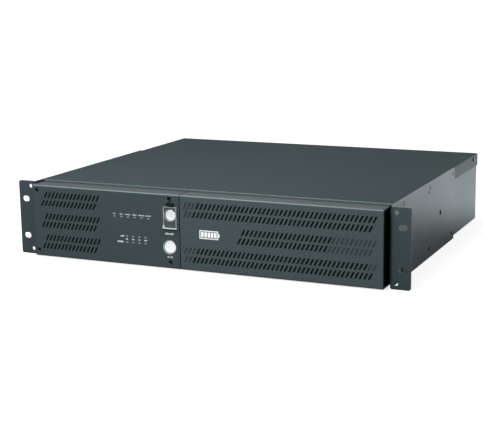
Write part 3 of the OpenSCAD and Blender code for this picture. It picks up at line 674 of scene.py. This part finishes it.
load_bars = [
    (i * BAR_PITCH, 0, i * BAR_PITCH + BAR_WIDE, BAR_FIRST + i * BAR_RISE) for i in range(4)
]
charge_strokes = battery_strokes(7.4, 1.5, 0.3, 4)
front_strokes = battery_strokes(23, 9.6, 1.1, 5)
pictures = (
    stencil("load_picture", load_bars, (-98.8, load_z / MM - 0.9), "case"),
    stencil("charge_picture", charge_strokes, (-102.4, charge_z / MM - 0.6), "case"),
    stencil("front_picture", front_strokes, (2.5, -5.2), "service_bezel"),
)
print("pictures:", *(picture.name for picture in pictures))

# %% [markdown]
# The buttons, and the collar round one of them, are turned shapes. A cylinder could be cut step by
# step, but half of an outline, drawn once and spun round its axis, gives every ring together. The
# spin doubles the points on the axis, so they are merged before the faces are turned outwards.

# %% Lathe
LATHE_STEPS = 64


def lathed(name, outline, centre):
    """outline is (radius, y) from the middle outwards, spun round an axis along y at centre."""
    shape = bmesh.new()
    points = [shape.verts.new((radius, y, 0)) for radius, y in outline]
    edges = [shape.edges.new(pair) for pair in zip(points, points[1:])]
    bmesh.ops.spin(
        shape,
        geom=points + edges,
        cent=(0, 0, 0),
        axis=(0, 1, 0),
        angle=math.tau,
        steps=LATHE_STEPS,
        use_merge=True,
    )
    bmesh.ops.remove_doubles(shape, verts=shape.verts, dist=SAME_POINT)
    bmesh.ops.recalc_face_normals(shape, faces=shape.faces)
    bmesh.ops.translate(shape, verts=shape.verts, vec=(centre.x, 0, centre.z))
    piece = piece_from(name, shape)
    for polygon in piece.data.polygons:
        polygon.use_smooth = True
    return piece


print("the lathe turns in", LATHE_STEPS, "steps")

# %% [markdown]
# Each button has a flat rim, a shallow dish, a small raised ring round its middle, and behind the
# bezel a flange that holds it in. The dish could be cut into a plain cap afterwards, but the lathe
# needs an outline anyway, so it is drawn there: from the middle to the rim, and then back along
# the stem.

# %% Button caps
FLANGE_PROUD = 1.6 * MM
RIM_ROUND = 0.5 * MM
STEM_R = 1.8 * MM


def rim_of(node):
    """The radius of the part of a button that stands in its well."""
    low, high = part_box(node)
    return (high.x - low.x) / 2 - FLANGE_PROUD


def button_cap(node):
    low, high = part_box(node)
    rim = rim_of(node)
    reach = rim + FLANGE_PROUD
    front, flange, stem_end = low.y, high.y - 3.1 * MM, high.y
    dish_y, ring_y, flange_back = front + 0.55 * MM, front + 0.35 * MM, flange + 1.0 * MM
    dish = [
        (0, dish_y), (1.3 * MM, dish_y), (1.5 * MM, ring_y), (2.0 * MM, ring_y),
        (2.2 * MM, dish_y), (rim * 0.5, front + 0.5 * MM), (rim * 0.72, front + 0.3 * MM),
    ]
    edge = [
        (rim * 0.8, front), (rim - RIM_ROUND, front),
        (rim - 0.15 * MM, front + 0.15 * MM), (rim, front + RIM_ROUND), (rim, flange),
    ]
    stem = [
        (reach, flange), (reach, flange_back), (STEM_R, flange_back),
        (STEM_R, stem_end), (0, stem_end),
    ]
    cap = lathed(node + "_cap", dish + edge + stem, centre_of(node))
    finish_piece(cap, BODY_OF[node], white_plastic)
    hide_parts(node)
    return cap


print(button_cap("power_button").name, button_cap("test_button").name)

# %% [markdown]
# A pale collar lines the bore round the test button and shows as a thin ring. It could be a hole
# cut in a disc, but as a turned shape it is one closed outline, spun as the buttons are. It rides
# on the case, so that the button slides inside it.

# %% Well collar
COLLAR_GAP = 0.6 * MM
COLLAR_WALL = 0.35 * MM
inner = rim_of("test_button") + COLLAR_GAP
outer = inner + COLLAR_WALL
front, back = FACE_Y + 0.15 * MM, FACE_Y + 3 * MM
ring = [(inner, back), (inner, front), (outer, front), (outer, back), (inner, back)]
collar = lathed("test_collar", ring, centre_of("test_button"))
finish_piece(collar, "case", well_plastic)
print(collar.name, "of radius", round(inner / MM, 2), "mm")

# %% [markdown]
# The guard over the power button is one clear moulding: a shallow window with an open back, whose three walls are
# seen end on and look milky. Five plates could make the window, but a box that loses its back, is beveled and gets
# its wall with solidify has no seams. The walls are bars of their own, because they wear the pale finish that is
# partly a painted highlight.

# %% Guard window and rim
LIP_OUT = 1.2 * MM
LIP_SIDE = 0.5 * MM
LIP_TALL = 2 * MM
RIM_WALL = 0.8 * MM
WINDOW_WALL = 0.7 * MM
BELOW_HINGE = 1.5 * MM
guard_low, guard_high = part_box("button_guard")
hinge = next(joint for joint in frame["joints"] if joint["name"] == "guard_hinge")
HINGE_AT = Vector(hinge["pos_m"])
window_top = HINGE_AT.z - BELOW_HINGE
window_low = Vector((guard_low.x + LIP_SIDE, guard_low.y + LIP_OUT, guard_low.z))
window_high = Vector((guard_high.x - LIP_SIDE, guard_high.y, window_top))


def guard_window():
    shape = bmesh.new()
    add_box(shape, window_low, window_high)
    shape.normal_update()
    back_faces = [face for face in shape.faces if face.normal.y > 0.5]
    bmesh.ops.delete(shape, geom=back_faces, context="FACES")
    closed = [edge for edge in shape.edges if not edge.is_boundary]
    round_edges(shape, closed, 0.5 * MM, 3)
    bmesh.ops.recalc_face_normals(shape, faces=shape.faces)
    bmesh.ops.solidify(shape, geom=shape.faces[:], thickness=WINDOW_WALL)
    return piece_from("guard_window", shape)


def guard_rim():
    x0, y0, z0 = window_low + Vector((0, 0, LIP_TALL))
    x1, y1, z1 = window_high
    shape = bmesh.new()
    add_box(shape, (x0, y0, z0), (x0 + RIM_WALL, y1, z1))
    add_box(shape, (x1 - RIM_WALL, y0, z0), (x1, y1, z1))
    add_box(shape, (x0 + RIM_WALL, y0, z1 - RIM_WALL), (x1 - RIM_WALL, y1, z1))
    round_edges(shape, shape.edges[:], 0.2 * MM, 2)
    return piece_from("guard_rim", shape)


def on_guard(piece, finish):
    """The piece swings with the guard and stands for it."""
    finish_piece(piece, "guard_flap", finish)
    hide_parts("button_guard")
    return piece


window = on_guard(guard_window(), clear_plastic)
rim = on_guard(guard_rim(), clear_edge_highlight)
print("guard:", window.name, rim.name)

# %% [markdown]
# Along its bottom edge the guard has a lip to lift it by. The lip is pale as a painted highlight, a dark strip
# beneath it is a painted shadow, and a bright bar where the lip meets the wall is a painted highlight. At the top
# a short arm joins it to a dark barrel that turns on the pin. One outline could be extruded for them all, but they
# differ in finish, so each is a bar or a cylinder that runs a little into the next.

# %% Guard lip and barrel
BARREL_R = 1.2 * MM
BARREL_LONG = 5 * MM
shadow_top = guard_low.z + 1.2 * MM
lip_top = guard_low.z + LIP_TALL


def guard_bar(name, x0, x1, z0, z1, round_off):
    """A bar across the guard's front, as deep as its lip, from x0 to x1 and z0 to z1."""
    low = (x0, guard_low.y, z0)
    high = (x1, guard_high.y - 0.2 * MM, z1)
    return bar(name, low, high, round_off)


def guard_barrel():
    shape = bmesh.new()
    bmesh.ops.create_cone(
        shape,
        cap_ends=True,
        segments=32,
        radius1=BARREL_R,
        radius2=BARREL_R,
        depth=BARREL_LONG,
        matrix=Matrix.Translation(HINGE_AT) @ Matrix.Rotation(math.pi / 2, 4, "Y"),
    )
    return piece_from("guard_barrel", shape)


x0, x1 = guard_low.x, guard_high.x
# Pale lip: painted highlight. Matt black strip under it: painted shadow. Pale corner bar: painted highlight.
lip = guard_bar("guard_lip", x0, x1, shadow_top, lip_top, 0.25 * MM)
lip_shadow = guard_bar("guard_lip_shadow", x0, x1, guard_low.z, shadow_top, 0.3 * MM)
corner_x = (x0 + 0.5 * MM, x0 + 1.7 * MM)
corner_z = (lip_top - 0.3 * MM, guard_low.z + 5 * MM)
corner = guard_bar("guard_corner_highlight", *corner_x, *corner_z, 0.3 * MM)
barrel = guard_barrel()
arm_low = HINGE_AT + Vector((-2.5, -0.8, -2.2)) * MM
arm_high = HINGE_AT + Vector((2.5, 0.8, -0.4)) * MM
arm = bar("guard_arm", arm_low, arm_high, 0.2 * MM, 2)
on_guard(lip, lip_highlight_plastic)
on_guard(lip_shadow, matt_black)
on_guard(corner, lip_highlight_plastic)
on_guard(barrel, matt_black)
on_guard(arm, clear_plastic)
print("guard:", lip.name, lip_shadow.name, corner.name, barrel.name, arm.name)

# %% [markdown]
# The bezels are open at their outer ends. A black foam strip closes each end behind the wall; its near-black
# colour is painted shade, standing for the deep shade in the gap beside the ear. Foam could be modelled pore by
# pore, but at this size a rough bump and an even, dark colour are all that shows.

# %% Foam ends, painted shade
FOAM_INSET = 0.6 * MM
FOAM_THICK = 1.1 * MM
FOAM_FRONT = 2.45 * MM
FOAM_BACK = 0.2 * MM
FOAM_EDGE = 2.05 * MM
shade_foam = Finish("shade_foam")
pores = shade_foam.noise(700, 3, 0.7)
# Near-black: painted shade in the gap beside the ear.
shade_foam.set(Base_Color=shade_foam.mix(pores, srgb(9, 14, 15), srgb(16, 21, 22)))
shade_foam.set(Roughness=0.95, Specular_IOR_Level=0.0)
shade_foam.bump(pores, 0.2 * MM)


def shade_foam_end(name, node, side, body):
    """side is 1 at a bezel's right end and -1 at its left end."""
    low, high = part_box(node)
    end_x = high.x if side > 0 else low.x
    x0, x1 = sorted(end_x - side * inset for inset in (FOAM_INSET, FOAM_INSET + FOAM_THICK))
    low_corner = (x0, low.y + FOAM_FRONT, low.z + FOAM_EDGE)
    high_corner = (x1, high.y - FOAM_BACK, high.z - FOAM_EDGE)
    strip = bar(name, low_corner, high_corner, 0.3 * MM, 2)
    return finish_piece(strip, body, shade_foam)


print(shade_foam_end("right_shade_foam", "right_bezel", 1, "service_bezel").name)
print(shade_foam_end("left_shade_foam", "left_bezel", -1, "case").name)

# %% [markdown]
# Behind the vents sits a strip of dark gauze, one strip behind each row of slots. Its near-black colour is painted
# shade: it is why the open slots look dark from every side. The threads could be modelled, but only their darkness
# shows through the slots, so a strip is a thin box with a fine bump. The service bezel's gauze is a little greyer.

# %% Dark gauze, painted shade
VENT_ROWS_MM = (30.85, 21.0, 5.35, -4.5, -20.2, -30.05)
VENT_HALF = 4.2 * MM
SCREEN_BEHIND = 2.6 * MM
SCREEN_THICK = 0.5 * MM
WEAVE = 0.1 * MM
# The gauze colours are painted shade inside the vents.
shade_gauze = moulding("shade_gauze", srgb(5, 7, 7), 0.9, WEAVE, specular=0.05)
service_shade_gauze = moulding("service_shade_gauze", srgb(20, 26, 27), 0.9, WEAVE, specular=0.05)


def shade_screen(name, node, x0, x1, body, cloth):
    """One thin strip behind each row of slots in the node, from x0 to x1."""
    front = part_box(node)[0].y + SCREEN_BEHIND
    back = front + SCREEN_THICK
    shape = bmesh.new()
    for row in VENT_ROWS_MM:
        z = row * MM
        add_box(shape, (x0, front, z - VENT_HALF), (x1, back, z + VENT_HALF))
    return finish_piece(piece_from(name, shape), body, cloth)


screens = (
    shade_screen("left_shade_gauze", "left_bezel", -204 * MM, -122 * MM, "case", shade_gauze),
    shade_screen("right_shade_gauze", "right_bezel", -3 * MM, 203 * MM, "service_bezel", service_shade_gauze),
)
print("screens:", *(screen.name for screen in screens))

# %% [markdown]
# Three soft boxes light the scene: the main one high on the left in front, a small one low over the
# lid that shades it from front to back, and one straight in front for the bezels. Point lamps would
# leave hard shadows and pin-sharp highlights on the satin paint, so all three are area lamps.

# %% Light boxes


def light_box(name, at, aim, size, power):
    lamp = bpy.data.lights.new(name, "AREA")
    lamp.shape = "RECTANGLE"
    lamp.size, lamp.size_y = size
    lamp.energy = power
    holder = bpy.data.objects.new(name, lamp)
    holder.location = at
    holder.rotation_euler = (Vector(aim) - Vector(at)).to_track_quat("-Z", "Y").to_euler()
    holder.visible_camera = False
    scene.collection.objects.link(holder)
    return lamp


lamps = (
    light_box("key_box", (-0.7, -0.9, 1.1), (-0.1, 0, 0), (0.7, 0.5), 4.5),
    light_box("over_box", (-0.08, -0.08, 0.5), (-0.06, 0.02, 0.04), (0.4, 0.3), 2.5),
    light_box("front_box", (0.06, -1.0, 0.3), (0, 0, 0), (0.6, 0.4), 3.25),
)
print("watts:", [lamp.energy for lamp in lamps])

# %% [markdown]
# The world is plain white. With one strength for every ray, either the background would be grey or
# the paint would be washed out. So the rays that see the world get its full strength, and the rays
# that only gather its light get less.

# %% White world
WORLD_LIGHT = 0.6
SEEING_RAYS = ("Is Camera Ray", "Is Glossy Ray", "Is Transmission Ray")


def background_rays(nodes):
    """1 for rays from the camera, off a shiny surface or through a clear one, and 0 for others."""
    camera_ray, glossy_ray, clear_ray = (
        nodes.node("ShaderNodeLightPath", output=kind) for kind in SEEING_RAYS
    )
    return camera_ray.math("MAXIMUM", glossy_ray).math("MAXIMUM", clear_ray)


world = bpy.data.worlds.new("studio")
scene.world = world
world.use_nodes = True
sky = Nodes(world.node_tree, "Background")
sky.set(Strength=background_rays(sky) * (1 - WORLD_LIGHT) + WORLD_LIGHT, Color=(1, 1, 1, 1))
print("the world lights at", WORLD_LIGHT, "and shows at 1")

# %% [markdown]
# The floor is a sheet of pale paper that keeps the object's shadow. The case's glossy side mirrors it: dark close
# to the object, where the paper lies in its shade, and pale and cool further out. A lamp for the paper alone could
# do that, but would spill on the object. So the paper glows instead: evenly for the camera, and only clear of the
# object for the rays that a surface mirrors, so that the dark patch close to the object in those rays is a painted
# shadow.

# %% Floor
FLOOR_Z = cad_box[0].z - 0.2 * MM
CAMERA_GLOW = (0.74, 0.74, 0.74, 1)
MIRROR_GLOW = (0.94, 1.08, 1.14, 1)
PAINTED_SHADOW = (0, 0, 0, 1)
FADE_BEHIND = (0.23, 0.53)
FADE_BESIDE = (0.45, 0.8)
FADE_AHEAD = (0.25, 0.6)
sheet = bmesh.new()
bmesh.ops.create_grid(sheet, x_segments=1, y_segments=1, size=4)
bmesh.ops.translate(sheet, verts=sheet.verts, vec=(0, 0, FLOOR_Z))
floor = piece_from("floor", sheet)
paper = Finish("floor_paper")
across, along = paper.axes(paper.place())[:2]
behind = along.step(*FADE_BEHIND)
beside = across.math("ABSOLUTE").step(*FADE_BESIDE)
ahead = (along * -1).step(*FADE_AHEAD)
outside_painted_shadow = behind.math("MAXIMUM", beside).math("MAXIMUM", ahead)
# Mirrored rays see no glow close to the object: a painted shadow.
mirrored = paper.mix(outside_painted_shadow * background_rays(paper), PAINTED_SHADOW, MIRROR_GLOW)
from_camera = paper.node("ShaderNodeLightPath", output="Is Camera Ray")
paper.set(Base_Color=(0.5, 0.5, 0.5, 1), Roughness=0.9, Specular_IOR_Level=0.1)
paper.set(Emission_Color=paper.mix(from_camera, mirrored, CAMERA_GLOW), Emission_Strength=1.0)
wear(floor, paper)
print("floor at z", round(FLOOR_Z / MM, 2), "mm")
